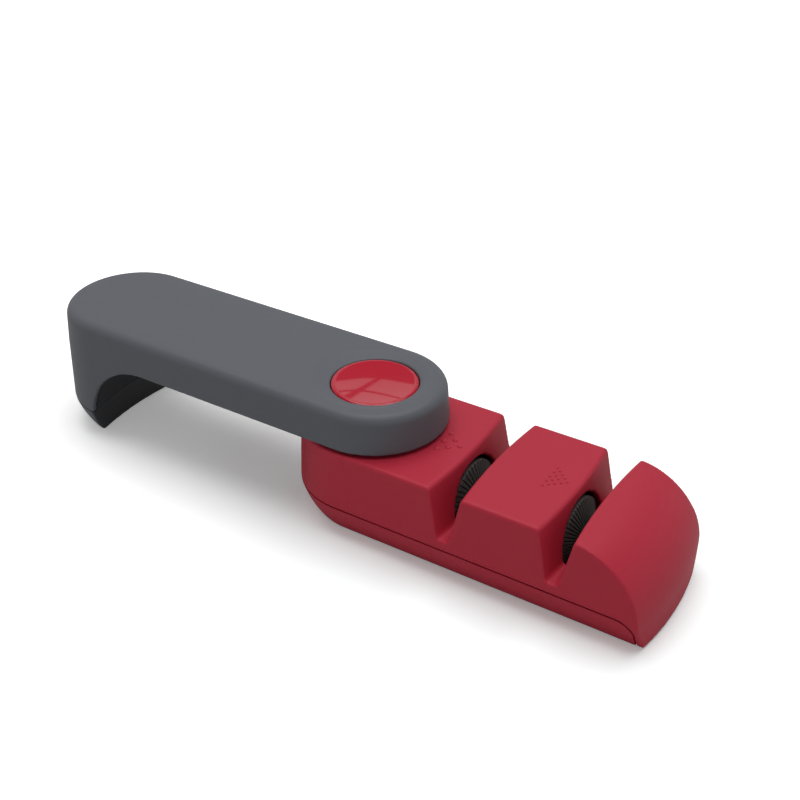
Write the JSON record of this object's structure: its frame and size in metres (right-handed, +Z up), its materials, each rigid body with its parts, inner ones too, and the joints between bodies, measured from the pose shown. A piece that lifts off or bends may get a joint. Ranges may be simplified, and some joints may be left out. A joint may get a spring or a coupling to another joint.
{
  "type": "pull-through knife sharpener",
  "caption": "Long low knife sharpener with ceramic wheels in V shaped slots, a rounded end and a swing-out handle with a leg and a round lock button.",
  "frame": {"origin": "on the floor under the swing axis of the handle", "axes": "+X along the body towards its rounded end, +Z up, the open handle points towards -X"},
  "size_m": [0.237, 0.0504, 0.0476],
  "materials": {
    "red_shell": "soft matte moulding",
    "button_red": "polished",
    "grey_handle": "fine matte grain",
    "dark_liner": "fine matte grain",
    "black_plastic": "moulded, slightly waxy",
    "coarse_ceramic": "ground, coarse grit",
    "fine_ceramic": "ground, fine grit",
    "pad_rubber": "matte",
    "screw_steel": "zinc plated",
    "pin_steel": "ground",
    "spring_steel": "drawn wire"
  },
  "bodies": {
    "body": {"body_shell": "red_shell", "base_plate": "red_shell", "grip_pad": "pad_rubber", "base_screws": "screw_steel", "coarse_cradle": "black_plastic", "coarse_axle": "pin_steel", "fine_cradle": "black_plastic", "fine_axle": "pin_steel", "pivot_bush": "black_plastic", "bearing_washer": "black_plastic"},
    "coarse_wheels": {"coarse_sleeve": "black_plastic", "coarse_wheel_left": "coarse_ceramic", "coarse_wheel_right": "coarse_ceramic"},
    "fine_wheels": {"fine_sleeve": "black_plastic", "fine_wheel_left": "fine_ceramic", "fine_wheel_right": "fine_ceramic"},
    "handle": {"handle_shell": "grey_handle", "handle_liner": "dark_liner", "handle_toe": "grey_handle", "toe_pad": "pad_rubber", "handle_screws": "screw_steel", "toe_screw": "screw_steel", "retaining_washer": "screw_steel", "pivot_screw": "screw_steel", "button_spring": "spring_steel"},
    "button": {"button_cap": "button_red", "lock_plunger": "black_plastic"}
  },
  "joints": [
    {"name": "handle_swing", "type": "hinge", "parent": "body", "child": "handle", "pos_m": [0, 0, 0.0341], "axis": [0, 0, 1], "range_deg": [0, 180]},
    {"name": "button_press", "type": "slide", "parent": "handle", "child": "button", "axis": [0, 0, -1], "range_m": [0, 0.0025], "stiffness_N_per_m": 400, "springref_m": -0.001, "deforming": ["button_spring"]},
    {"name": "coarse_wheel_spin", "type": "hinge", "parent": "body", "child": "coarse_wheels", "pos_m": [0.0403, 0, 0.0153], "axis": [1, 0, 0], "continuous": true},
    {"name": "fine_wheel_spin", "type": "hinge", "parent": "body", "child": "fine_wheels", "pos_m": [0.0772, 0, 0.0153], "axis": [1, 0, 0], "continuous": true}
  ]
}
